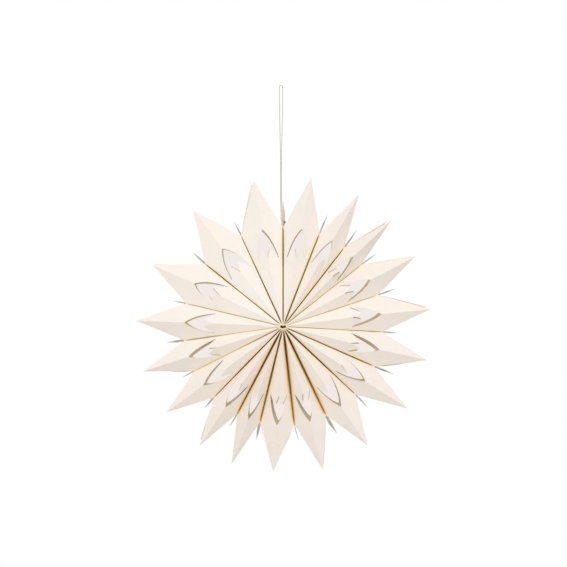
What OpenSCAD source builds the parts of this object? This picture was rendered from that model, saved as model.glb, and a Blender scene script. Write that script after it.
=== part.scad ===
// Hanging paper star: folded paper pockets glued wall to wall and fanned round a hub.
// Millimetres, +Z up, seen from the front along +Y. The origin is the inside of the
// cord loop's top, where a hook holds it.

/* [Star] */
// Distance from the hub's middle to a petal's tip
star_r = 296; // [250:1:340]
// Distance from the hub's middle to the notch between two petals
notch_r = 200; // [170:1:225]
// Distance from the hub's middle to the tip of the spike between two petals
spike_r = 233; // [226:1:280]
// Radius of the open hole at the hub
hub_r = 6; // [5:0.5:9]

/* [Window] */
// Distance from the hub's middle to the window's outer point, on the crease
window_tip_r = 197; // [185:1:215]
// Distance from the hub's middle to the window's side corners
window_side_r = 135; // [115:1:150]
// Distance from the hub's middle to the two points of the window's inner edge
window_point_r = 159; // [150:1:168]
// Distance from the hub's middle to the notch between those points, on the crease
window_notch_r = 138; // [120:1:149]
// How full the window's two sides are, with 0 for straight ones
window_full = 0.4; // [0:0.1:0.7]

/* [Paper] */
// Thickness of the paper
paper_t = 0.4; // [0.2:0.05:0.5]
// Width of the strip along which neighbouring pockets are glued, and of the spike's foot
glue_w = 28; // [16:1:40]
// Thickness of the glue film in that strip
glue_t = 0.02; // [0.01:0.01:0.1]
// Height of the wall that is left beside the glued strip at the notch
lip_h = 3; // [1:0.5:8]
// Width of the slit between two pockets, halfway along it
slit_w = 3; // [0:0.5:6]
// Angle by which a facet is cut wider than the widest pocket opens
facet_spare = 0.5; // [0.2:0.1:3]
// Length of the folded and glued end of a pocket at the hub
fold_l = 3; // [2:0.5:6]

/* [Cord] */
// Diameter of the cord
cord_d = 1.2; // [0.8:0.1:1.4]
// Diameter of the hole for the cord in the two walls that meet at the top
hole_d = 4.4; // [4:0.1:7]
// Distance from the hub's middle to that hole
hole_r = 208; // [190:1:218]
// Diameter of the knot behind the hole
knot_d = 5.6; // [5:0.1:9]
// Length of the knot
knot_l = 4.6; // [3:0.1:8]
// Rounding of the knot's edges
knot_round = 1.6; // [0.5:0.1:2]

/* [Hidden] */
// Opening of each pocket in degrees, counter-clockwise from the join at the top
fan = [
    25, 26.5, 25.5, 21.5, 18.5, 19, 16.5, 14, 20,
    19, 21, 19.5, 20.5, 21.5, 20, 14, 16.5, 21.5
];
// How much further than star_r each petal reaches
reach_more = [0, -3, -6, -2, -3, -7, -6, -3, -5, 2, -4, 2, -1, 0, 2, 4, 6, 6];
// How much further than spike_r each spike reaches, from the one at the join
spike_more = [19, -2, 1, -6, 3, -7, -4, -3, 2, 0, 9, 2, 9, -3, 5, 3, 11, 7];
// Columns of the front face from the crease (0) to the shoulder (1)
facet_cols = [0, 0.25, 0.5, 0.8, 1];
// Columns of facet_cols on which the inner edge's points and the window's side corners lie
point_col = 1;
corner_col = 3;

// The cord's centre line. It leaves the knot, passes the hole and turns up the left
// side of the join. The second strand is the first one mirrored.
hole_bend = [
    [4.8, -0.8, -275], [3.2, -0.8, -275], [1.8, -0.8, -274.7], [0.7, -0.8, -273.9],
    [0.1, -0.8, -272.6], [0, -0.8, -270], [0, -0.8, -255]
];
strand = [
    [-0.5, -0.6, -235], [-0.8, 0, -210], [-0.8, 0, -175], [-1, 0, -145],
    [-1.7, 0, -110], [-2.4, 0, -75], [-2.9, 0, -40], [-3, 0, -12], [-3, 0, -2.4],
    [-2.6, 0, -0.9], [-1.5, 0, 0.2]
];
loop_top = [0, 0, 0.6];
// Where the hole's middle lies, so that the strands bear on its upper edge
hole_x = 4.2;
hole_z = -276;
cord_sides = 8;

pockets = len(fan);
hub = [hole_x, 0, hole_z - hole_r];

function sum_to(v, n) = n <= 0 ? 0 : v[n - 1] + sum_to(v, n - 1);
fan_all = sum_to(fan, pockets);
// Half the opening of pocket i, and the direction of its crease from the hub
function half_open(i) = 180 * fan[i] / fan_all;
function crease_dir(i) = 90 + 360 * sum_to(fan, i) / fan_all + half_open(i);

// Angle between the crease and the shoulder on the flat sheet
facet_a = max([for (i = [0:pockets - 1]) half_open(i)]) + facet_spare;
// Half the star's depth at the hub
half_d = notch_r * tan(facet_a) + lip_h + glue_w / 2;

// Each pocket is a tube of paper. Its section is drawn in columns, which run from the
// front crease over the shoulder and the wall to the rear crease and back. A column's
// role is its place in the quarter from the crease (0) to the middle of the wall.
facet_n = len(facet_cols);
shoulder = facet_n - 1;
glue_edge = shoulder + 1;
wall_mid = shoulder + 2;
cols = 4 * wall_mid;
function role(c) =
    let (m = c % (2 * wall_mid)) m <= wall_mid ? m : 2 * wall_mid - m;
function side_of(c) = c <= 2 * wall_mid ? 1 : -1;
function face_of(c) = c <= wall_mid || c > 3 * wall_mid ? 1 : -1;

// A column has levels from the hub outwards. The window lies between levels 2 and 3,
// which are one and the same beside the window.
levels = 5;
hub_level = 0;
mid_level = 1;
window_in = 2;
window_out = 3;
end_level = 4;
function level_at(r, level) = level == window_out && r >= corner_col ? window_in : level;

function mix(a, b, t) = a + (b - a) * t;
function col_share(r) = facet_cols[r];
// Share of the way from one column to another
function way(from, to, r) =
    (col_share(r) - col_share(from)) / (col_share(to) - col_share(from));
function inner_edge(r) =
    r >= corner_col ? window_side_r
    : r < point_col ? mix(window_notch_r, window_point_r, way(0, point_col, r))
    : mix(window_point_r, window_side_r, way(point_col, corner_col, r));
function outer_edge(r) =
    let (t = r >= corner_col ? 1 : way(0, corner_col, r))
    mix(window_tip_r, window_side_r, mix(t, t * t, window_full));
// Straight line from the petal's tip to the notch, met at a share of the half opening
function petal_edge(share, a, tip) =
    tip * notch_r * sin(a) / (notch_r * sin(a * (1 - share)) + tip * sin(a * share));
function end_edge(r, a, tip, spike) =
    r <= shoulder ? petal_edge(col_share(r), a, tip) : r == glue_edge ? notch_r : spike;

function level_r(r, level, layer, a, tip, spike) =
    let (start = hub_r + layer * fold_l)
    level == hub_level ? start
    : level == mid_level ? mix(start, inner_edge(r), 0.5)
    : level == window_in ? inner_edge(r)
    : level == window_out ? outer_edge(r)
    : end_edge(r, a, tip, spike);

// How far a shoulder stands back from the plane between two pockets
function stand_back(rad) =
    let (t = min(1, max(0, (rad - hub_r) / (notch_r - hub_r))))
    slit_w / 2 * 4 * t * (1 - t);

// Point of a column on the outer (0) or inner (1) layer of the paper, with x along the
// crease, y across the pocket and z towards the viewer. The spikes are the two that the
// pocket's own walls end in, clockwise first.
function sheet_point(c, level, layer, a, tip, spikes) =
    let (
        r = role(c),
        rad = level_r(r, level, layer, a, tip, spikes[side_of(c) == 1 ? 1 : 0]),
        steep = sqrt(pow(tan(facet_a) / tan(a), 2) - 1),
        slope = sqrt(1 + steep * steep),
        fall = tan(a) * (slope - steep),
        share = r <= shoulder ? col_share(r) : 1,
        back = r <= shoulder ? asin(stand_back(rad) / rad) : 0,
        turn = share * (a - back),
        x = rad * cos(turn),
        y = rad * sin(turn) - share * (glue_t / 2 + layer * paper_t) / cos(a),
        z = r <= shoulder ? half_d - fall * x - steep * y - layer * paper_t * slope
            : r == glue_edge ? glue_w / 2
            : 0
    )
    [x, side_of(c) * y, face_of(c) * z];

function vertex(c, level, layer) =
    let (cc = c % cols)
    (layer * cols + cc) * levels + level_at(role(cc), level);

// Two triangles of a patch between two columns, turned round where flip is 1
function patch(p, q, r, s, flip) =
    flip == 0 ? [[p, q, r], [p, r, s]] : [[p, r, q], [p, s, r]];
function skin(c, level, layer) =
    patch(vertex(c, level, layer), vertex(c, level + 1, layer),
          vertex(c + 1, level + 1, layer), vertex(c + 1, level, layer), layer);
function rim(c, level, flip) =
    patch(vertex(c, level, 0), vertex(c, level, 1),
          vertex(c + 1, level, 1), vertex(c + 1, level, 0), flip);

// One pocket: the two layers, the cut edges and the folded end at the hub
module paper_pocket(a, tip, spikes) {
    points = [
        for (layer = [0, 1], c = [0:cols - 1], level = [0:levels - 1])
            sheet_point(c, level_at(role(c), level), layer, a, tip, spikes)
    ];
    strips = [0:cols - 1];
    faces = [
        for (layer = [0, 1], c = strips, level = [hub_level, mid_level, window_out])
            for (t = skin(c, level, layer)) t,
        for (c = strips) for (t = rim(c, end_level, 0)) t,
        for (c = strips) if (min(role(c), role((c + 1) % cols)) < corner_col)
            for (t = concat(rim(c, window_in, 0), rim(c, window_out, 1))) t,
        [for (c = strips) vertex(c, hub_level, 0)],
        [for (c = strips) vertex(cols - 1 - c, hub_level, 1)]
    ];
    polyhedron(points = points, faces = faces, convexity = 10);
}

module cord_hole() {
    translate([hole_x, 0, hole_z])
        rotate([0, 90, 0])
            cylinder(d = hole_d, h = 8 * paper_t, center = true, $fn = 32);
}

// Reach of the spike between pockets i - 1 and i
function spike(i) = spike_r + spike_more[i % pockets];

// Pocket i in its place round the hub. The first and last have the hole for the cord.
module pocket(i) {
    color("#f6ede2")
        difference() {
            translate(hub)
                rotate([90, 0, 0])
                    rotate([0, 0, crease_dir(i)])
                        paper_pocket(
                            half_open(i), star_r + reach_more[i], [spike(i), spike(i + 1)]
                        );
            if (i == 0 || i == pockets - 1) cord_hole();
        }
}

function mirror_x(p) = [-p[0], -p[1], p[2]];
function mirror_y(p) = [p[0], -p[1], p[2]];
function backwards(v) = [for (i = [len(v) - 1:-1:0]) v[i]];
cord_path = concat(
    hole_bend, strand, [loop_top],
    [for (p = backwards(strand)) mirror_x(p)],
    [for (p = backwards(hole_bend)) mirror_y(p)]
);

function unit(v) = v / norm(v);
function ring_at(path, i, rad, sides) =
    let (
        ahead = unit(path[min(i + 1, len(path) - 1)] - path[max(i - 1, 0)]),
        across = unit(cross(ahead, [0, 1, 0])),
        up = cross(across, ahead)
    )
    [for (k = [0:sides - 1])
        path[i] + rad * (cos(360 * k / sides) * across + sin(360 * k / sides) * up)];

// Tube of round section along a path
module tube(path, rad, sides) {
    rings = len(path);
    points = [for (i = [0:rings - 1]) each ring_at(path, i, rad, sides)];
    faces = [
        for (i = [0:rings - 2], k = [0:sides - 1])
            let (n = (k + 1) % sides)
            each [
                [i * sides + k, i * sides + n, (i + 1) * sides + k],
                [i * sides + n, (i + 1) * sides + n, (i + 1) * sides + k]
            ],
        [for (k = [sides - 1:-1:0]) k],
        [for (k = [0:sides - 1]) (rings - 1) * sides + k]
    ];
    polyhedron(points = points, faces = faces, convexity = 10);
}

module hanging_cord() {
    color("#e4e1d8") tube(cord_path, cord_d / 2, cord_sides);
}

// Stopper knot that holds the cord's ends, with its flat face towards the wall
module cord_knot() {
    color("#dedbd1")
        translate(cord_path[0] + [0, -cord_path[0][1], 0])
            rotate([0, 90, 0])
                rotate_extrude($fn = 32) {
                    square([knot_d / 2, knot_l - knot_round]);
                    square([knot_d / 2 - knot_round, knot_l]);
                    translate([knot_d / 2 - knot_round, knot_l - knot_round])
                        intersection() {
                            circle(r = knot_round, $fn = 32);
                            square(knot_round);
                        }
                }
}

for (i = [0:pockets - 1])
    pocket(i);
hanging_cord();
cord_knot();
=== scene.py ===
# Hanging paper star: folded paper pockets, fanned round a hub, on a thin cotton cord.
# Metres in the scene, millimetres in the dictionaries below. The front looks towards -Y.
import math

import bpy
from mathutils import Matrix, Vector


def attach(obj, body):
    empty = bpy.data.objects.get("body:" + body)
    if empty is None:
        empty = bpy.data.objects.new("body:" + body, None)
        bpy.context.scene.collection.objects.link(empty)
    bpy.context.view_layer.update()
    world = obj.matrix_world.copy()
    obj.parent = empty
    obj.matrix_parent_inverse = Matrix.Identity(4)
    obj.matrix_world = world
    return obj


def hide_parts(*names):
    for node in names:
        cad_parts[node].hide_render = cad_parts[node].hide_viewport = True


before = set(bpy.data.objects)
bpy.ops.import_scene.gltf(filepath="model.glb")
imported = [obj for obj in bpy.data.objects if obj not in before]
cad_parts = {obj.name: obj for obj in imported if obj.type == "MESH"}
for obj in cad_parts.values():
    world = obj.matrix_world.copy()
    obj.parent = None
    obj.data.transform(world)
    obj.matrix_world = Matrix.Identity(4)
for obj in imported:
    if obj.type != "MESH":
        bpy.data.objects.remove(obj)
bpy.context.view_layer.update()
scene = bpy.context.scene
scene.view_settings.view_transform = "Standard"
mm = 0.001


def mix(a, b, t):
    return a + (b - a) * t


def smooth(t):
    t = min(1.0, max(0.0, t))
    return t * t * (3 - 2 * t)


def addObject(name, data):
    obj = bpy.data.objects.new(name, data)
    scene.collection.objects.link(obj)
    return obj


def addMesh(name, points, faces, material, sharpAngle=None):
    mesh = bpy.data.meshes.new(name)
    mesh.from_pydata([tuple(c * mm for c in p) for p in points], [], faces)
    mesh.validate()
    mesh.polygons.foreach_set("use_smooth", [True] * len(mesh.polygons))
    if sharpAngle is not None:
        mesh.set_sharp_from_angle(angle=math.radians(sharpAngle))
    mesh.materials.append(material)
    obj = addObject(name, mesh)
    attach(obj, "root")
    return obj


# Camera: straight on, level with the middle of the picture
cameraView = {
    "place": (5, -3500, -399),  # mm
    "pictureWidth": 1134,  # mm across at the plane where the petals' tips stand
    "petalPlane": -25,
    "sensor": 36,
    "clipEnd": 100,  # metres
}


def makeCamera():
    data = bpy.data.cameras.new("camera")
    data.sensor_width = cameraView["sensor"]
    away = cameraView["petalPlane"] - cameraView["place"][1]
    data.lens = cameraView["sensor"] * away / cameraView["pictureWidth"]
    data.clip_end = cameraView["clipEnd"]
    obj = addObject("camera", data)
    obj.location = Vector(cameraView["place"]) * mm
    obj.rotation_euler = (math.radians(90), 0, 0)
    scene.camera = obj


makeCamera()
print("camera placed")


# Shared node helpers
def newMaterial(name):
    material = bpy.data.materials.new(name)
    material.use_nodes = True
    material.node_tree.nodes.clear()
    return material, material.node_tree


def addNode(tree, kind, inputs=None, **settings):
    node = tree.nodes.new(kind)
    for key, value in settings.items():
        setattr(node, key, value)
    for key, value in (inputs or {}).items():
        node.inputs[key].default_value = value
    return node


def rgb(red, green, blue):  # linear colour from 0..255 display values
    def linear(v):
        v /= 255
        return v / 12.92 if v <= 0.04045 else ((v + 0.055) / 1.055) ** 2.4
    return (linear(red), linear(green), linear(blue), 1)


def newGroup(name, inputs, outputs):
    tree = bpy.data.node_groups.new(name, "ShaderNodeTree")
    for label, kind, value in inputs:
        socket = tree.interface.new_socket(name=label, in_out="INPUT", socket_type=kind)
        socket.default_value = value
    for label, kind in outputs:
        tree.interface.new_socket(name=label, in_out="OUTPUT", socket_type=kind)
    return tree, tree.nodes.new("NodeGroupInput"), tree.nodes.new("NodeGroupOutput")


# Mottling of pressed fibres: a mask from 0 to 1 and a height
fibreLook = {
    "cloud": {"Scale": 60.0, "Detail": 4.0, "Roughness": 0.6},
    "fibre": {"Scale": 900.0, "Detail": 3.0, "Roughness": 0.65, "Distortion": 1.2},
    "fibreShare": 0.45,  # of the fine noise in the mask
    "spread": {"From Min": 0.3, "From Max": 0.7},
}


def fibreGroup():
    tree, start, end = newGroup(
        "fibreGrain",
        [("Size", "NodeSocketFloat", 1.0), ("Contrast", "NodeSocketFloat", 1.0)],
        [("Mask", "NodeSocketFloat"), ("Height", "NodeSocketFloat")],
    )
    link = tree.links.new
    place = addNode(tree, "ShaderNodeTexCoord")
    scale = addNode(tree, "ShaderNodeVectorMath", operation="SCALE")
    link(place.outputs["Object"], scale.inputs[0])
    link(start.outputs["Size"], scale.inputs["Scale"])
    cloud = addNode(tree, "ShaderNodeTexNoise", fibreLook["cloud"])
    fibre = addNode(tree, "ShaderNodeTexNoise", fibreLook["fibre"])
    for node in (cloud, fibre):
        link(scale.outputs[0], node.inputs["Vector"])
    blend = addNode(tree, "ShaderNodeMix", {"Factor": fibreLook["fibreShare"]})
    link(cloud.outputs["Fac"], blend.inputs[2])
    link(fibre.outputs["Fac"], blend.inputs[3])
    spread = addNode(tree, "ShaderNodeMapRange", fibreLook["spread"])
    link(blend.outputs[0], spread.inputs["Value"])
    power = addNode(tree, "ShaderNodeMath", operation="POWER")
    link(spread.outputs[0], power.inputs[0])
    link(start.outputs["Contrast"], power.inputs[1])
    link(power.outputs[0], end.inputs["Mask"])
    link(fibre.outputs["Fac"], end.inputs["Height"])
    return tree


fibreGrain = fibreGroup()

paperLook = {
    "light": rgb(251, 243, 234),
    "shade": rgb(247, 238, 228),  # where the grain's mask is full
    # painted warm light and shade: a golden tone in the slits, round the hub's shaft and round the
    # windows, for light bouncing in the slits and shining through the paper
    "paintedGlowUp": rgb(242, 223, 98),  # inside the slits above the hub, lit through the paper
    "paintedGlowDown": rgb(253, 213, 88),  # and below it
    "paintedGlowTurn": (-0.56, -0.42),  # metres, the heights between which the one becomes the other
    # painted shade: the grey of the spikes, which stand edge-on in shade
    "spike": rgb(214, 213, 204),
    "inside": rgb(249, 240, 223),  # the sheet's other side
    "grainSize": 1.0,
    "bump": 0.12,
    "bumpHeight": 0.00006,  # metres
    "roughness": 0.85,
    "specular": 0.25,
}


def makePaper():
    material, tree = newMaterial("starPaper")
    link = tree.links.new
    grain = addNode(tree, "ShaderNodeGroup", node_tree=fibreGrain)
    grain.inputs["Size"].default_value = paperLook["grainSize"]
    tone = addNode(tree, "ShaderNodeMix", data_type="RGBA")
    tone.inputs[6].default_value = paperLook["light"]
    tone.inputs[7].default_value = paperLook["shade"]
    link(grain.outputs["Mask"], tone.inputs[0])
    inner = addNode(tree, "ShaderNodeAttribute", attribute_name="inside")
    lined = addNode(tree, "ShaderNodeMix", data_type="RGBA")
    lined.inputs[7].default_value = paperLook["inside"]
    link(inner.outputs["Fac"], lined.inputs[0])
    link(tone.outputs[2], lined.inputs[6])
    # Painted warm light and shade: the golden tone, yellower above the hub and warmer below, mixed
    # in where the painted glow attribute says
    wall = addNode(tree, "ShaderNodeAttribute", attribute_name="paintedGlow")
    place = addNode(tree, "ShaderNodeTexCoord")
    height = addNode(tree, "ShaderNodeSeparateXYZ")
    link(place.outputs["Object"], height.inputs[0])
    turn = addNode(tree, "ShaderNodeMapRange")
    turn.inputs["From Min"].default_value = paperLook["paintedGlowTurn"][0]
    turn.inputs["From Max"].default_value = paperLook["paintedGlowTurn"][1]
    link(height.outputs["Z"], turn.inputs["Value"])
    paintedGlowColour = addNode(tree, "ShaderNodeMix", data_type="RGBA")
    paintedGlowColour.inputs[6].default_value = paperLook["paintedGlowDown"]
    paintedGlowColour.inputs[7].default_value = paperLook["paintedGlowUp"]
    link(turn.outputs[0], paintedGlowColour.inputs[0])
    withPaintedGlow = addNode(tree, "ShaderNodeMix", data_type="RGBA")
    link(paintedGlowColour.outputs[2], withPaintedGlow.inputs[7])
    link(wall.outputs["Fac"], withPaintedGlow.inputs[0])
    link(lined.outputs[2], withPaintedGlow.inputs[6])
    # Painted shade: the spikes, seen edge-on, turn grey
    thin = addNode(tree, "ShaderNodeAttribute", attribute_name="paintedSpikeShade")
    spiked = addNode(tree, "ShaderNodeMix", data_type="RGBA")
    spiked.inputs[7].default_value = paperLook["spike"]
    link(thin.outputs["Fac"], spiked.inputs[0])
    link(withPaintedGlow.outputs[2], spiked.inputs[6])
    bump = addNode(
        tree, "ShaderNodeBump",
        {"Strength": paperLook["bump"], "Distance": paperLook["bumpHeight"]},
    )
    link(grain.outputs["Height"], bump.inputs["Height"])
    shader = addNode(
        tree, "ShaderNodeBsdfPrincipled",
        {"Roughness": paperLook["roughness"], "Specular IOR Level": paperLook["specular"]},
    )
    link(spiked.outputs[2], shader.inputs["Base Color"])
    link(bump.outputs[0], shader.inputs["Normal"])
    out = addNode(tree, "ShaderNodeOutputMaterial")
    link(shader.outputs[0], out.inputs[0])
    return material


cottonLook = {
    "light": rgb(180, 173, 136),
    "shade": rgb(140, 133, 99),
    "grainSize": 4.0,
    "contrast": 1.4,
    "roughness": 0.9,
    "sheen": 0.15,
    "bump": 0.3,
    "bumpHeight": 0.00005,  # metres
}


def makeCotton():
    material, tree = newMaterial("cottonCord")
    link = tree.links.new
    grain = addNode(tree, "ShaderNodeGroup", node_tree=fibreGrain)
    grain.inputs["Size"].default_value = cottonLook["grainSize"]
    grain.inputs["Contrast"].default_value = cottonLook["contrast"]
    tone = addNode(tree, "ShaderNodeMix", data_type="RGBA")
    tone.inputs[6].default_value = cottonLook["light"]
    tone.inputs[7].default_value = cottonLook["shade"]
    link(grain.outputs["Mask"], tone.inputs[0])
    bump = addNode(
        tree, "ShaderNodeBump",
        {"Strength": cottonLook["bump"], "Distance": cottonLook["bumpHeight"]},
    )
    link(grain.outputs["Height"], bump.inputs["Height"])
    shader = addNode(
        tree, "ShaderNodeBsdfPrincipled",
        {"Roughness": cottonLook["roughness"], "Sheen Weight": cottonLook["sheen"]},
    )
    link(tone.outputs[2], shader.inputs["Base Color"])
    link(bump.outputs[0], shader.inputs["Normal"])
    out = addNode(tree, "ShaderNodeOutputMaterial")
    link(shader.outputs[0], out.inputs[0])
    return material


paper = makePaper()
cotton = makeCotton()

# The cord's centre line, as in the part's source. The second strand is the first one mirrored.
cordRoute = {
    "holeBend": [
        (4.8, -0.8, -275), (3.2, -0.8, -275), (1.8, -0.8, -274.7), (0.7, -0.8, -273.9),
        (0.1, -0.8, -272.6), (0, -0.8, -270), (0, -0.8, -255),
    ],
    "strand": [
        (-0.5, -0.6, -235), (-0.8, 0, -210), (-0.8, 0, -175), (-1, 0, -145),
        (-1.7, 0, -110), (-2.4, 0, -75), (-2.9, 0, -40), (-3, 0, -12), (-3, 0, -2.4),
        (-2.6, 0, -0.9), (-1.5, 0, 0.2),
    ],
    "top": (0, 0, 0.6),
    "diameter": 1.2,
    "plies": 2,
    "core": 0.72,  # radius between the plies, as a share of the cord's
    "lay": 3.2,  # mm for one turn of the plies
    "step": 0.45,  # mm between rings
    "sides": 12,
}


def cordPoints():
    bend = cordRoute["holeBend"]
    strand = cordRoute["strand"]
    up = [Vector(p) for p in bend + strand]
    down = [Vector((-x, -y, z)) for x, y, z in reversed(strand)]
    down += [Vector((x, -y, z)) for x, y, z in reversed(bend)]
    return up + [Vector(cordRoute["top"])] + down


def smoothPath(points, step):  # even points along a smooth curve through the given ones
    fine = []
    count = len(points)
    for i in range(count - 1):
        p1, p2 = points[i], points[i + 1]
        span = (p2 - p1).length
        before = points[i - 1] if i else p1 * 2 - p2
        after = points[i + 2] if i + 2 < count else p2 * 2 - p1
        out = (p2 - before) * (span / max(1e-6, (p2 - before).length))
        back = (after - p1) * (span / max(1e-6, (after - p1).length))
        steps = max(2, int(round(span / step)))
        for k in range(steps):
            t = k / steps
            a, b = 2 * t**3 - 3 * t**2 + 1, t**3 - 2 * t**2 + t
            c, d = -2 * t**3 + 3 * t**2, t**3 - t**2
            fine.append(p1 * a + out * b + p2 * c + back * d)
    fine.append(points[-1])
    return fine


# A tube along the path whose section has as many lobes as the cord has plies
def twistedTube(path, radius, sides):
    points, faces = [], []
    plies, lay, core = cordRoute["plies"], cordRoute["lay"], cordRoute["core"]
    normal = Vector((0, 1, 0))
    travelled = 0.0
    for i, at in enumerate(path):
        ahead = (path[min(i + 1, len(path) - 1)] - path[max(i - 1, 0)]).normalized()
        normal = (normal - ahead * normal.dot(ahead)).normalized()
        across = ahead.cross(normal)
        if i:
            travelled += (at - path[i - 1]).length
        turn = 2 * math.pi * travelled / lay
        for k in range(sides):
            angle = 2 * math.pi * k / sides
            lobe = abs(math.cos((angle - turn) * plies / 2))
            reach = radius * mix(core, 1, lobe)
            points.append(at + (normal * math.cos(angle) + across * math.sin(angle)) * reach)
    rings = len(path)
    for i in range(rings - 1):
        for k in range(sides):
            n = (k + 1) % sides
            faces.append((i * sides + k, i * sides + n, (i + 1) * sides + n, (i + 1) * sides + k))
    faces.append(tuple(reversed(range(sides))))
    faces.append(tuple(range((rings - 1) * sides, rings * sides)))
    return points, faces


knotShape = {
    "start": 4.8,  # mm, where the knot's face bears on the wall
    "long": 4.6,
    "across": 5.6,
    "height": -275,
    "strand": 0.72,  # radius of the cord in the knot, a little squeezed out
    "steps": 150,
    "sides": 10,
    "tail": ((0.05, 0.8, 0), (1.2, 0.7, 0.2), (2.6, 0.5, -0.3), (4.5, 0.9, -0.8)),
    "tailStep": 0.3,
}


# A stopper knot: the doubled cord's trefoil with its two short ends
def makeKnot():
    reach = (knotShape["across"] / 2 - knotShape["strand"]) / 3
    depth = knotShape["long"] / 2 - knotShape["strand"]
    middle = knotShape["start"] + knotShape["long"] / 2
    steps = knotShape["steps"]
    points, faces = [], []

    def add(path, radius):
        more, moreFaces = twistedTube(path, radius, knotShape["sides"])
        base = len(points)
        points.extend(more)
        faces.extend(tuple(v + base for v in face) for face in moreFaces)

    loop = []
    for k in range(steps + 1):
        t = 2 * math.pi * k / steps
        loop.append(Vector((
            middle - depth * math.sin(3 * t),
            reach * (math.sin(t) + 2 * math.sin(2 * t)),
            knotShape["height"] + reach * (math.cos(t) - 2 * math.cos(2 * t)),
        )))
    add(loop, knotShape["strand"])
    for side in (-1, 1):
        tail = [
            Vector((knotShape["start"] + x, side * y, knotShape["height"] + z))
            for x, y, z in knotShape["tail"]
        ]
        add(smoothPath(tail, knotShape["tailStep"]), cordRoute["diameter"] / 2)
    knot = addMesh("stopperKnot", points, faces, cotton)
    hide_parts("cord_knot")
    return knot


def makeCord(knot):
    path = smoothPath(cordPoints(), cordRoute["step"])
    points, faces = twistedTube(path, cordRoute["diameter"] / 2, cordRoute["sides"])
    cord = addMesh("hangingCord", points, faces, cotton)
    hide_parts("hanging_cord")


makeCord(makeKnot())
print("cord and knot made")

# The star. The first block repeats the part's source, the rest is the paper's own play.
star = {
    "fan": [
        25, 26.5, 25.5, 21.5, 18.5, 19, 16.5, 14, 20,
        19, 21, 19.5, 20.5, 21.5, 20, 14, 16.5, 21.5,
    ],
    "reachMore": [0, -3, -6, -2, -3, -7, -6, -3, -5, 2, -4, 2, -1, 0, 2, 4, 6, 6],
    "spikeMore": [19, -2, 1, -6, 3, -7, -4, -3, 2, 0, 9, 2, 9, -3, 5, 3, 11, 7],
    "starR": 296, "notchR": 200, "spikeR": 233, "hubR": 6,
    "windowTip": 197, "windowSide": 135, "windowPoint": 159, "windowNotch": 138,
    "pointShare": 0.25, "cornerShare": 0.8, "windowFull": 0.4,
    "paperT": 0.4, "glueW": 28, "glueT": 0.02, "lipH": 3, "facetSpare": 0.5, "foldL": 3,
    "hub": (4.2, 0, -484),
}
# Play of the single pockets and gaps, counter-clockwise from the join at the top. Lengths in
# mm, and (start, span) pairs say where an effect sets in and over what it grows.
play = {
    # widths of the slits at the hub, half way and at the notch
    "slitIn": [2.4, 2.5, 1.9, 1, 0.5, 1.5, 2.2, 4.5, 3, 6.3, 5, 3.4, 2, 0.9, 0.5, 1.1, 2, 2.7],
    "slitMid": [
        2.5, 2.2, 1.6, 0.9, 0.5, 0.6, 2.9, 4.1, 4.4,
        7.3, 5.7, 3.3, 2.2, 0.7, 0.9, 0.6, 2.2, 2.6,
    ],
    "slitOut": [
        4.4, 1.8, 3, 1, 1.6, 0.6, 2.1, 4.3, 4.4,
        5.1, 6.2, 1.9, 2.7, 1.2, 0.7, 0.9, 2.3, 2.7,
    ],
    "slitTurns": ((0.2, 0.3), (0.5, 0.3)),  # shares of the way out, In to Mid and Mid to Out
    "slitEnd": 0.03,  # share of the way over which a slit opens and closes
    "closing": 0.35,  # share of its width that a slit keeps at its outer end
    "gapeMost": 0.55,  # most of a pocket's half width that a slit takes near the hub
    "slitDeep": 8,  # mm that the slits reach down beside the glue
    "deepSpan": 0.08,  # share of the way over which they get that deep
    "curl": 0.9,  # how far the paper rolls down beside a slit, in slit widths
    "curlReach": 5,  # mm from the slit
    "curlNarrow": 8,  # half width of a facet on which the roll is half as deep
    "curlSpan": 0.2,  # share of the way over which the roll ends at the notch
    "spikeTwist": [18, 7, 9, 5, 10, 4, 9, 5, 12, 3, 15, 7, 10, 7, 7, 6, 8, 7],  # degrees
    "spikeLean": [0.2, 1, -2, 2, -1, 1, 2, -2, 1, 5, 3, -2, 1, -1, 1, -1, 1, -1],
    "spikeRoot": 8,  # mm inside the notch, where the spikes begin to bend
    "twistRise": 3,  # the twist sets in over the first third
    "twistMore": 0.8,  # and grows by this share out to the tip
    # how far the petals' tips lean, counter-clockwise
    "tipLean": [
        -6, -2.5, 3, 0.5, 0.5, -0.5, 4, 0, -2,
        -2.5, -3.5, 1.5, 2.5, -3.5, -1, -3, -1, 0.5,
    ],
    "leanRise": (150, 150),
    # how far the rear faces stand aside of the front ones
    "rearSway": [3, 0, 4.5, 4.5, 9, 5, -1, 0, 5, 4, -2, -1.2, -9.5, 2, 1.2, 0.8, -3, -3],
    "swayRise": 170,
    "swayFade": (200, 80),  # beyond the window half of the sway goes
    "swayShape": (0.5, 1.6),  # at a facet's crease, and more with the share across it
    # how much further in the rear windows' tips stand, and further out their inner points
    "rearTip": [0, 1, 1.5, 1.2, 0.5, 0.5, 0.7, 2, 1.8, 2.5, 1.6, 0.5, 1, 0, 0, 0.5, 0, 0],
    "rearNotch": [0, 1, 4, 3, 1, 2, 2, 4, 4, 3, 4, 4, 3, 1, 1, 1, 1, 0],
    "trim": 0.6,  # mm that the petals stop short, so that leaning keeps them in the part's box
    "hubKink": -13,  # mm that the hub's middle is pushed up, so no light passes
    "hubReach": 34,  # mm from the hub over which that fades
    # how far out the pockets' folded ends stand
    "hubEnd": [1.5, 3, 5, 6, 5.5, 4.8, 4, 3.4, 3, 3, 3.6, 4.6, 6, 6, 5, 3, 1.5, 1.2],
}
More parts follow.
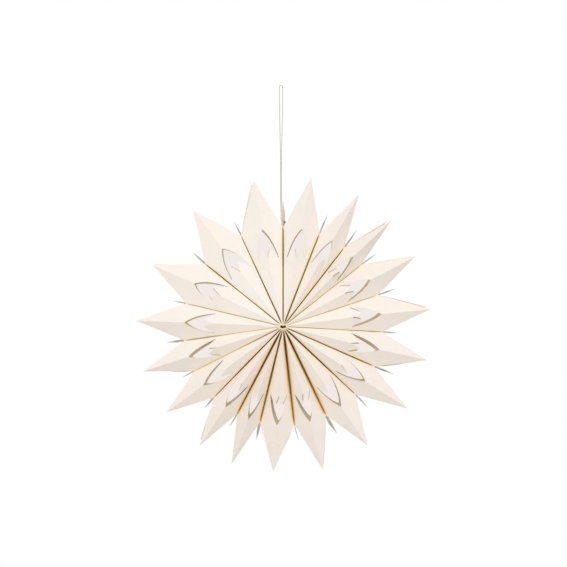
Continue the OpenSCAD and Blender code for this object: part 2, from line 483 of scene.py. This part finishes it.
# Where the sheet's points stand: across a facet, out to the window, and on to the tip
mesh = {
    "shares": [
        0, 0.03, 0.1, 0.18, 0.25, 0.35, 0.45, 0.55, 0.63, 0.7, 0.75, 0.8, 0.85, 0.9, 0.94, 0.975, 1,
    ],
    "innerRows": [
        0, 0.02, 0.055, 0.1, 0.16, 0.24, 0.33, 0.42, 0.51, 0.6, 0.69, 0.78, 0.86, 0.92, 0.97, 1,
    ],
    "outerRows": [0, 0.04, 0.1, 0.2, 0.3, 0.4, 0.5, 0.6, 0.7, 0.8, 0.9, 1],
    "wallSteps": 3, "glueSteps": 2,
    "sharpAngle": 14,
}
# Painted light and shade on the paper: the painted warm light in the slits and through the sheet,
# as shares of the painted golden tone, and the painted shade that greys the spikes
paintedLightShade = {
    "edgeLeast": 0.25, "edgePerMm": 0.04, "edgeMost": 0.42,  # at a slit's edge, by its width
    "edgeReach": 1.8,  # mm on the face beside it
    "slitFade": (185, 20),  # mm out, start and span
    "joinGlow": 0.5,  # less at the join on top
    "shaftRim": 2,  # mm round the hub's shaft
    "shaftInset": 3, "shaftSpan": 8,
    "rimGlow": 0.2,  # on the sheet's inner side, round the windows
    "rimReach": 5,
    "joinSpikeShade": 0.35,
    "spikeShadeSpan": 12,  # mm beyond the notch
}

pockets = len(star["fan"])
fanAll = sum(star["fan"])


def halfOpen(i):
    return math.pi * star["fan"][i] / fanAll


def creaseDir(i):
    return math.pi / 2 + 2 * math.pi * sum(star["fan"][:i]) / fanAll + halfOpen(i)


facetA = max(halfOpen(i) for i in range(pockets)) + math.radians(star["facetSpare"])
halfDepth = star["notchR"] * math.tan(facetA) + star["lipH"] + star["glueW"] / 2


def innerEdge(share):
    point, corner = star["pointShare"], star["cornerShare"]
    if share >= corner:
        return star["windowSide"]
    if share >= point:
        return mix(star["windowPoint"], star["windowSide"], (share - point) / (corner - point))
    return mix(star["windowNotch"], star["windowPoint"], share / point)


def outerEdge(share):
    t = min(1, share / star["cornerShare"])
    return mix(star["windowTip"], star["windowSide"], mix(t, t * t, star["windowFull"]))


def petalEdge(share, a, tip):
    notch = star["notchR"]
    reach = notch * math.sin(a * (1 - share)) + tip * math.sin(a * share)
    return tip * notch * math.sin(a) / reach


# One folded sheet: a ring of columns (crease, facet, wall, glued strip and back) in rows from
# the hub to the tips, in two layers for the paper's thickness. In its own frame x runs out
# along the crease, y across the pocket, and z from its middle to the front.
def makePocket(i):
    a = halfOpen(i)
    tip = star["starR"] + star["reachMore"][i] - play["trim"]
    steep = math.sqrt((math.tan(facetA) / math.tan(a)) ** 2 - 1)
    slope = math.sqrt(1 + steep * steep)
    fall = math.tan(a) * (slope - steep)
    shares = mesh["shares"]
    shoulder = len(shares) - 1
    glueEdge = shoulder + mesh["wallSteps"]
    wallMid = glueEdge + mesh["glueSteps"]
    cols = 4 * wallMid
    windowIn = len(mesh["innerRows"]) - 1
    windowOut = windowIn + 1
    corner = shares.index(star["cornerShare"])
    endLevel = windowOut + len(mesh["outerRows"]) - 1
    levels = endLevel + 1

    def role(c):  # 0 at a crease, wallMid in the middle of a wall
        m = c % (2 * wallMid)
        return min(m, 2 * wallMid - m)

    def levelAt(r, level):  # beyond the window's corners its two edges are one row
        return windowIn if level == windowOut and r >= corner else level

    def levelR(r, level, layer, gap, face):  # how far out a row stands
        share = shares[min(r, shoulder)]
        rear = max(0.0, 1 - share / star["cornerShare"]) if face < 0 else 0.0
        start = play["hubEnd"][i] + layer * star["foldL"]
        if level <= windowIn:
            notch = innerEdge(share) + play["rearNotch"][i] * rear
            return mix(start, notch, mesh["innerRows"][level])
        if r <= shoulder:
            end = petalEdge(share, a, tip)
        else:
            end = star["notchR"]
            if r > glueEdge:
                spike = star["spikeR"] + star["spikeMore"][gap]
                end = mix(end, spike, (r - glueEdge) / mesh["glueSteps"])
        edge = outerEdge(share) - play["rearTip"][i] * rear
        return mix(edge, end, mesh["outerRows"][level - windowOut])

    def sheetPoint(c, level, layer):
        r = role(c)
        side = 1 if c <= 2 * wallMid else -1
        face = 1 if c <= wallMid or c > 3 * wallMid else -1
        gap = (i + 1) % pockets if side == 1 else i
        rad = levelR(r, level, layer, gap, face)
        share = shares[min(r, shoulder)]
        inward = (rad - star["hubR"]) / (star["notchR"] - star["hubR"])
        toMid, toOut = (smooth((inward - start) / span) for start, span in play["slitTurns"])
        wide = mix(play["slitIn"][gap], play["slitMid"][gap], toMid)
        wide = mix(wide, play["slitOut"][gap], toOut)
        closing = play["closing"] if gap else 1.0
        wide *= smooth(inward / play["slitEnd"])
        wide *= mix(closing, 1, smooth((1 - inward) / play["slitEnd"]))
        glued = star["glueW"] / 2 - play["slitDeep"] * smooth((1 - inward) / play["deepSpan"])
        down = min(1.0, max(0.0, (r - shoulder) / mesh["wallSteps"]))
        gape = min(wide / 2, play["gapeMost"] * rad * math.sin(a)) * (1 - down) ** 2
        back = math.asin(gape / rad)
        turn = share * (a - back)
        x = rad * math.cos(turn)
        inset = star["glueT"] / 2 + layer * star["paperT"]
        y = rad * math.sin(turn) - share * inset / math.cos(a)
        flat = max(1.0, star["hubR"] / rad)
        z = halfDepth - (fall * x + steep * y) * flat - layer * star["paperT"] * slope
        half = rad * math.sin(a)
        roll = play["curl"] * wide * half / (half + play["curlNarrow"])
        roll *= smooth((1 - inward) / play["curlSpan"])
        z -= roll * share * share * math.exp((share - 1) * half / play["curlReach"])
        if r > shoulder:
            if r <= glueEdge:
                z = mix(z, glued, down)
            else:
                z = glued * (wallMid - r) / mesh["glueSteps"]
        y *= side
        z *= face
        if face == 1:
            start, span = play["leanRise"]
            y += play["tipLean"][i] * (1 - share) * smooth((rad - start) / span)
        else:
            start, span = play["swayFade"]
            sway = smooth(rad / play["swayRise"]) * (1 - 0.5 * smooth((rad - start) / span))
            least, more = play["swayShape"]
            y += play["rearSway"][i] * (1 - share) * (least + more * share) * sway
        root = star["notchR"] - play["spikeRoot"]
        if r >= shoulder and rad > root:
            out = (rad - root) / (star["spikeR"] - root)
            push = play["spikeLean"][gap] * out * out
            twist = math.tan(math.radians(play["spikeTwist"][gap]))
            push += z * twist * smooth(out * play["twistRise"]) * (1 + play["twistMore"] * out)
            if r > shoulder:
                x -= side * push * math.sin(a)
                y += push * math.cos(a)
        return x, y, z

    def kinked(x, y, z):  # bends the hub's narrow shaft, by the same rule for every pocket
        near = 1 - smooth(math.hypot(x, z) / play["hubReach"])
        return z + play["hubKink"] * near * math.cos(math.pi * y / (2 * halfDepth)) ** 2

    direction = creaseDir(i)
    cosD, sinD = math.cos(direction), math.sin(direction)
    hub = star["hub"]

    # Painted warm light: how much golden tone a point gets, along the slits' edges and walls, round
    # the hub's shaft and on the inner side round the windows
    def paintedGlowAmount(r, level, layer, gap, x, y, z):
        share = shares[min(r, shoulder)]
        out = math.hypot(x, y)
        shaft = smooth((play["hubEnd"][i] + paintedLightShade["shaftRim"] - out) / paintedLightShade["shaftRim"])
        shaft *= smooth((halfDepth - paintedLightShade["shaftInset"] - abs(z)) / paintedLightShade["shaftSpan"])
        if layer:  # the inner side gets painted warm light round the windows
            if r > corner:
                return shaft
            rim = out - outerEdge(share) if level >= windowOut else innerEdge(share) - out
            return max(shaft, paintedLightShade["rimGlow"] * math.exp(-max(0.0, rim) / paintedLightShade["rimReach"]))
        wide = mix(play["slitIn"][gap], play["slitMid"][gap], 0.5)
        edge = min(paintedLightShade["edgeMost"], paintedLightShade["edgeLeast"] + paintedLightShade["edgePerMm"] * wide)
        glow = edge * math.exp((share - 1) * out * math.sin(a) / paintedLightShade["edgeReach"])
        glow += (1 - edge) * smooth((r - shoulder) / mesh["wallSteps"])
        start, span = paintedLightShade["slitFade"]
        glow *= 1 - smooth((out - start) / span)
        if gap == 0:
            glow *= paintedLightShade["joinGlow"]
        return max(shaft, glow)

    # Painted shade: grey on the spikes, rising beyond the notch, less at the join on top
    def paintedSpikeShadeAmount(r, gap, x, y):
        if r < shoulder:
            return 0.0
        rise = smooth((math.hypot(x, y) - star["notchR"]) / paintedLightShade["spikeShadeSpan"])
        return rise * (paintedLightShade["joinSpikeShade"] if gap == 0 else 1.0)

    points, inside, paintedGlow, paintedSpikeShade = [], [], [], []
    for layer in (0, 1):
        for c in range(cols):
            r = role(c)
            for level in range(levels):
                x, y, z = sheetPoint(c, levelAt(r, level), layer)
                across, up = x * cosD - y * sinD, x * sinD + y * cosD
                up = kinked(across, z, up)
                points.append((hub[0] + across, -z, hub[2] + up))
                gap = (i + 1) % pockets if c <= 2 * wallMid else i
                inside.append(float(layer))
                paintedGlow.append(paintedGlowAmount(r, level, layer, gap, x, y, z))
                paintedSpikeShade.append(paintedSpikeShadeAmount(r, gap, x, y))

    def vertex(c, level, layer):
        c %= cols
        return (layer * cols + c) * levels + levelAt(role(c), level)

    faces = []

    def quad(p, q, r, s, flip):
        corners = [p, s, r, q] if flip else [p, q, r, s]
        kept = [v for n, v in enumerate(corners) if v != corners[n - 1]]
        if len(kept) > 2:
            faces.append(tuple(kept))

    for c in range(cols):
        for layer in (0, 1):
            for level in range(endLevel):
                if level != windowIn:
                    quad(vertex(c, level, layer), vertex(c, level + 1, layer),
                         vertex(c + 1, level + 1, layer), vertex(c + 1, level, layer), layer)
        quad(vertex(c, endLevel, 0), vertex(c, endLevel, 1),
             vertex(c + 1, endLevel, 1), vertex(c + 1, endLevel, 0), 0)
        if c < 2 * wallMid:
            for layer in (0, 1):  # the folded end at the hub
                quad(vertex(c, 0, layer), vertex(c + 1, 0, layer),
                     vertex(-c - 1, 0, layer), vertex(-c, 0, layer), 1 - layer)
        if min(role(c), role((c + 1) % cols)) < corner:
            for level, flip in ((windowIn, 0), (windowOut, 1)):
                quad(vertex(c, level, 0), vertex(c, level, 1),
                     vertex(c + 1, level, 1), vertex(c + 1, level, 0), flip)

    name = "starPocket%02d" % (i + 1)
    obj = addMesh(name, points, faces, paper, sharpAngle=mesh["sharpAngle"])
    for label, values in (("inside", inside), ("paintedGlow", paintedGlow), ("paintedSpikeShade", paintedSpikeShade)):
        layerData = obj.data.attributes.new(label, "FLOAT", "POINT")
        layerData.data.foreach_set("value", values)
    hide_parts("pocket_%02d" % (i + 1))


for i in range(pockets):
    makePocket(i)
print("pockets made:", pockets)

# Light, backdrop and floor
studio = {
    "ambient": 0.722,
    "ambientBelow": 0.4,  # straight from below, so that facets facing down are darker
    "lamps": {
        "keyLight": {"place": (0, -2600, 700), "size": 1600, "power": 27},
        "backFill": {"place": (0, 2600, 700), "size": 1600, "power": 16},
    },
    "aim": (0, 0, -450),
    "windowTone": rgb(242, 234, 229),
    "cardBehind": 3000,  # mm behind the star, where only the windows show it
    "cardRadius": 364,
    "roundSides": 72,
    "floor": {
        "height": -1500, "radius": 2300, "fade": 0.3, "tone": rgb(232, 228, 223),
        "whitened": 0.65,  # share of plain white that the camera sees on it
    },
}


# White for the camera, softer light for everything else
def makeWorld():
    world = bpy.data.worlds.new("studio")
    scene.world = world
    world.use_nodes = True
    tree = world.node_tree
    tree.nodes.clear()
    link = tree.links.new
    path = addNode(tree, "ShaderNodeLightPath")
    seen = addNode(tree, "ShaderNodeMath", operation="MAXIMUM")
    link(path.outputs["Is Camera Ray"], seen.inputs[0])
    link(path.outputs["Is Glossy Ray"], seen.inputs[1])
    seenThrough = addNode(tree, "ShaderNodeMath", operation="MAXIMUM")
    link(seen.outputs[0], seenThrough.inputs[0])
    link(path.outputs["Is Transmission Ray"], seenThrough.inputs[1])
    place = addNode(tree, "ShaderNodeTexCoord")
    height = addNode(tree, "ShaderNodeSeparateXYZ")
    link(place.outputs["Generated"], height.inputs[0])
    around = addNode(tree, "ShaderNodeMapRange", {"From Min": -1.0, "From Max": 0.0})
    around.inputs["To Min"].default_value = studio["ambientBelow"]
    around.inputs["To Max"].default_value = studio["ambient"]
    link(height.outputs["Z"], around.inputs["Value"])
    strength = addNode(tree, "ShaderNodeMix")
    link(around.outputs[0], strength.inputs[2])
    strength.inputs[3].default_value = 1.0
    link(seenThrough.outputs[0], strength.inputs[0])
    back = addNode(tree, "ShaderNodeBackground", {"Color": (1, 1, 1, 1)})
    link(strength.outputs[0], back.inputs["Strength"])
    out = addNode(tree, "ShaderNodeOutputWorld")
    link(back.outputs[0], out.inputs[0])


def makeLamps():
    for name, look in studio["lamps"].items():
        data = bpy.data.lights.new(name, "AREA")
        data.shape = "DISK"
        data.size = look["size"] * mm
        data.energy = look["power"]
        obj = addObject(name, data)
        obj.location = Vector(look["place"]) * mm
        aim = (Vector(studio["aim"]) * mm - obj.location).normalized()
        obj.rotation_euler = aim.to_track_quat("-Z", "Y").to_euler()
        obj.visible_camera = False


# A pale round card far behind the star, which the camera sees through the windows
def makeCard():
    material, tree = newMaterial("windowCard")
    link = tree.links.new
    path = addNode(tree, "ShaderNodeLightPath")
    side = addNode(tree, "ShaderNodeNewGeometry")
    front = addNode(tree, "ShaderNodeMath", {0: 1.0}, operation="SUBTRACT")
    link(side.outputs["Backfacing"], front.inputs[1])
    shown = addNode(tree, "ShaderNodeMath", operation="MULTIPLY")
    link(path.outputs["Is Camera Ray"], shown.inputs[0])
    link(front.outputs[0], shown.inputs[1])
    clear = addNode(tree, "ShaderNodeBsdfTransparent")
    pale = addNode(tree, "ShaderNodeEmission", {"Color": studio["windowTone"], "Strength": 1.0})
    blend = addNode(tree, "ShaderNodeMixShader")
    link(shown.outputs[0], blend.inputs[0])
    link(clear.outputs[0], blend.inputs[1])
    link(pale.outputs[0], blend.inputs[2])
    out = addNode(tree, "ShaderNodeOutputMaterial")
    link(blend.outputs[0], out.inputs[0])
    camera = Vector(cameraView["place"])
    hub = Vector(star["hub"])
    away = (hub.y + studio["cardBehind"] - camera.y) / (hub.y - camera.y)
    middle = camera + (hub - camera) * away
    points = [(0, 0, 0)]
    sides, radius = studio["roundSides"], studio["cardRadius"]
    for k in range(sides):
        angle = 2 * math.pi * k / sides
        points.append((math.cos(angle) * radius, 0, math.sin(angle) * radius))
    faces = [(0, 1 + k, 1 + (k + 1) % sides) for k in range(sides)]
    data = bpy.data.meshes.new("windowCard")
    data.from_pydata([tuple((Vector(p) + middle) * mm) for p in points], [], faces)
    data.materials.append(material)
    card = addObject("windowCard", data)


# A plain pale floor that keeps the star's shadow and fades out into the backdrop
def makeFloor():
    look = studio["floor"]
    material, tree = newMaterial("studioFloor")
    link = tree.links.new
    place = addNode(tree, "ShaderNodeTexCoord")
    away = addNode(tree, "ShaderNodeVectorMath", operation="LENGTH")
    link(place.outputs["Object"], away.inputs[0])
    fade = addNode(tree, "ShaderNodeMapRange", interpolation_type="SMOOTHSTEP")
    fade.inputs["From Min"].default_value = look["radius"] * look["fade"] * mm
    fade.inputs["From Max"].default_value = look["radius"] * mm
    link(away.outputs["Value"], fade.inputs["Value"])
    path = addNode(tree, "ShaderNodeLightPath")
    whitened = addNode(tree, "ShaderNodeMath", {1: look["whitened"]}, operation="MULTIPLY")
    link(path.outputs["Is Camera Ray"], whitened.inputs[0])
    matt = addNode(tree, "ShaderNodeBsdfDiffuse", {"Color": look["tone"]})
    white = addNode(tree, "ShaderNodeEmission")
    pale = addNode(tree, "ShaderNodeMixShader")
    link(whitened.outputs[0], pale.inputs[0])
    link(matt.outputs[0], pale.inputs[1])
    link(white.outputs[0], pale.inputs[2])
    clear = addNode(tree, "ShaderNodeBsdfTransparent")
    blend = addNode(tree, "ShaderNodeMixShader")
    link(fade.outputs[0], blend.inputs[0])
    link(pale.outputs[0], blend.inputs[1])
    link(clear.outputs[0], blend.inputs[2])
    out = addNode(tree, "ShaderNodeOutputMaterial")
    link(blend.outputs[0], out.inputs[0])
    sides, radius = studio["roundSides"], look["radius"] * mm
    points = []
    for k in range(sides):
        angle = 2 * math.pi * k / sides
        points.append((math.cos(angle) * radius, math.sin(angle) * radius, 0))
    data = bpy.data.meshes.new("studioFloor")
    data.from_pydata(points, [], [tuple(range(sides))])
    data.materials.append(material)
    floor = addObject("studioFloor", data)
    floor.location = (star["hub"][0] * mm, 0, look["height"] * mm)


makeWorld()
makeLamps()
makeCard()
makeFloor()
print("lights and backdrop made")
